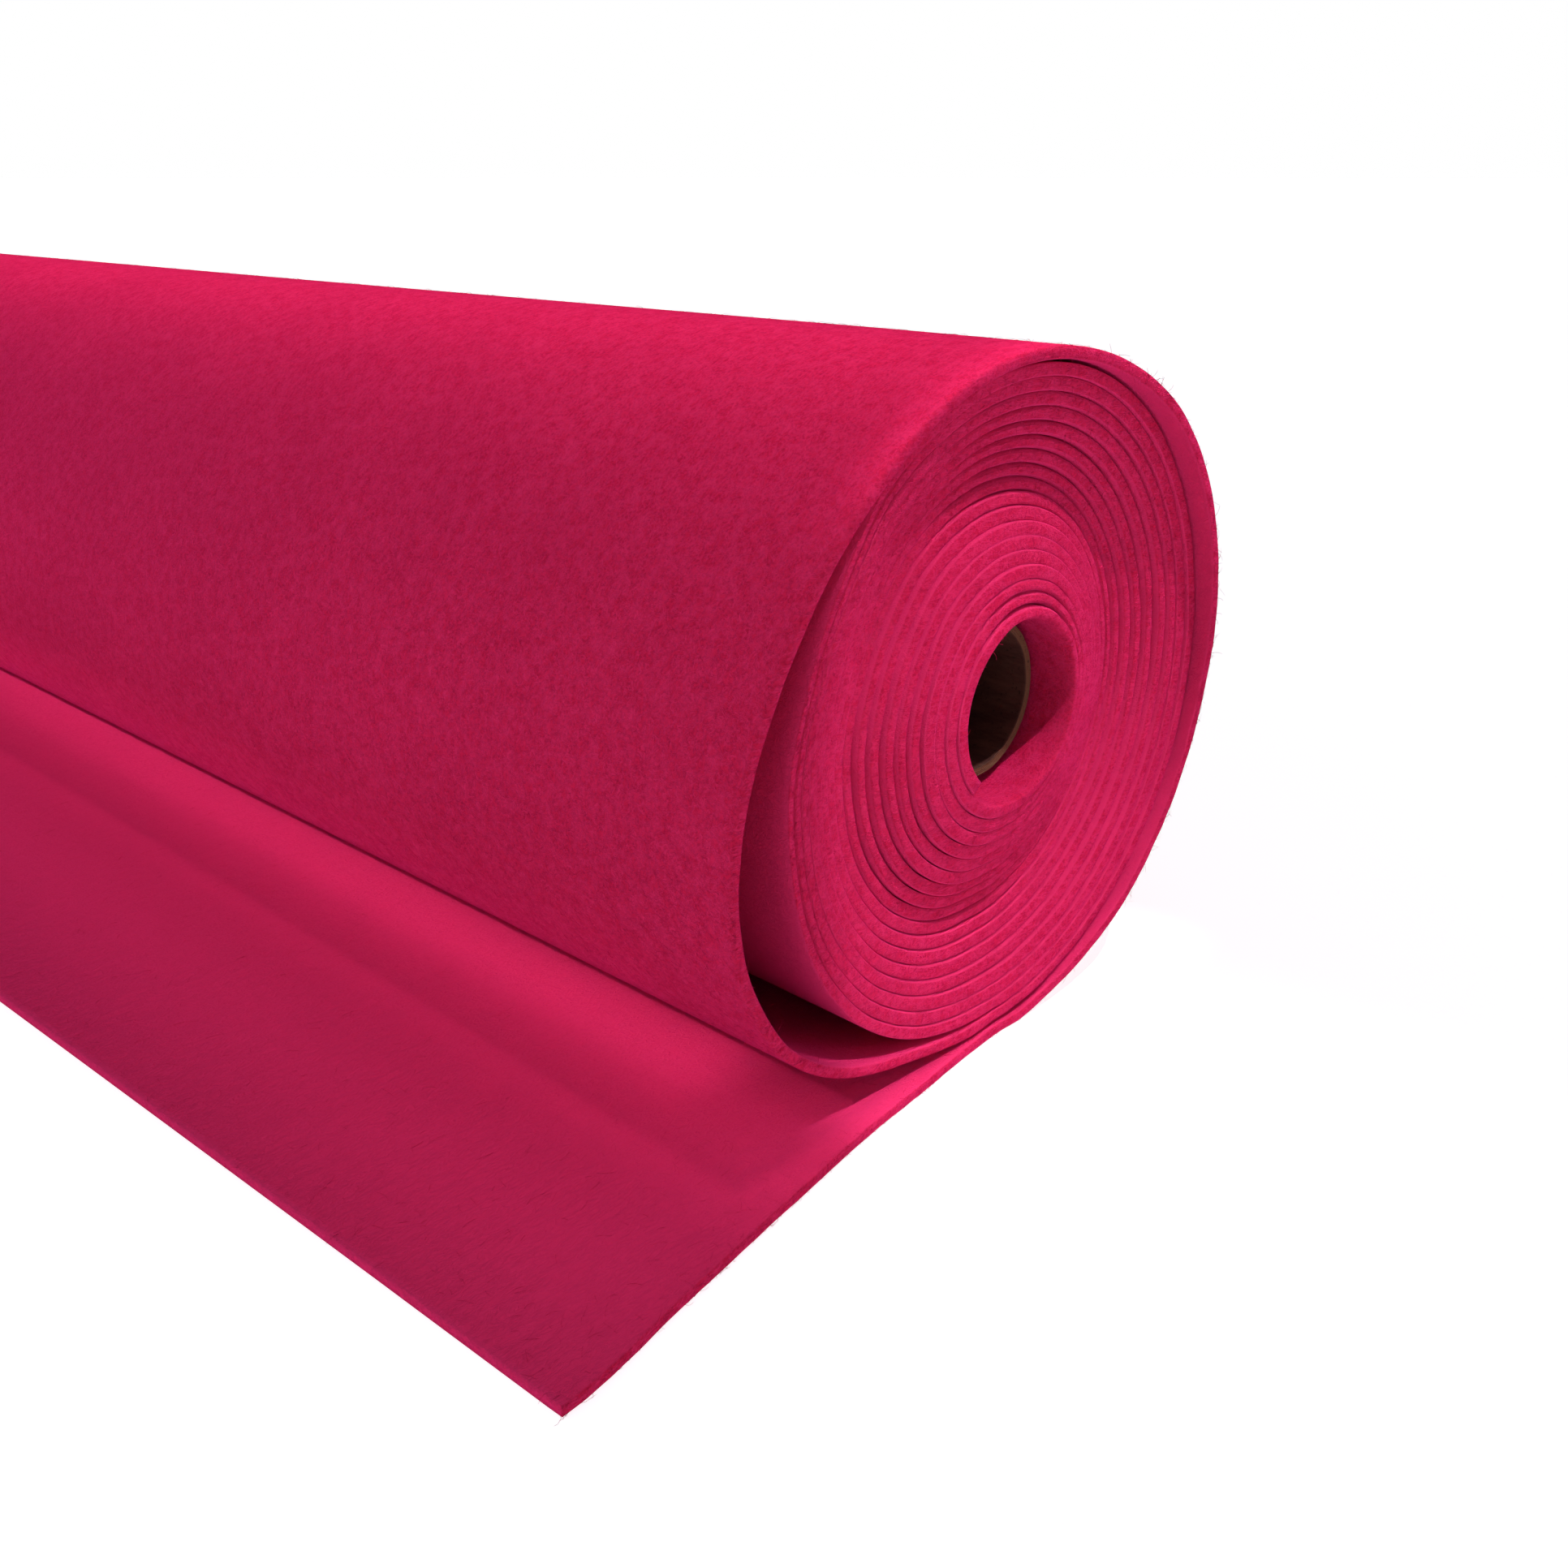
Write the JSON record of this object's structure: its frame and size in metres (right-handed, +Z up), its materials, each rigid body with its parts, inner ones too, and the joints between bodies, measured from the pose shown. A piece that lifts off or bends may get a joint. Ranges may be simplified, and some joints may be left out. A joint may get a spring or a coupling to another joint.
{
  "type": "roll of felt",
  "caption": "Roll of crimson craft felt wound on a plain cardboard tube, lying on its side with the free end of the strip flat on the floor in front of it.",
  "frame": {"origin": "on the floor under the roll's axis, half way along the felt's width, on the felt's flat underside", "axes": "+X along the roll towards the end face that stands forward in the picture, +Y to the back, away from the free end, +Z up"},
  "size_m": [0.6258, 0.2502, 0.1504],
  "materials": {
    "felt": "matt, finely fibrous wool-like felt, the same on both faces",
    "card": "matt brown paper board, in thin plies that show at the cut end"
  },
  "bodies": {
    "root": {"felt": "felt", "core_tube": "card"}
  },
  "joints": []
}
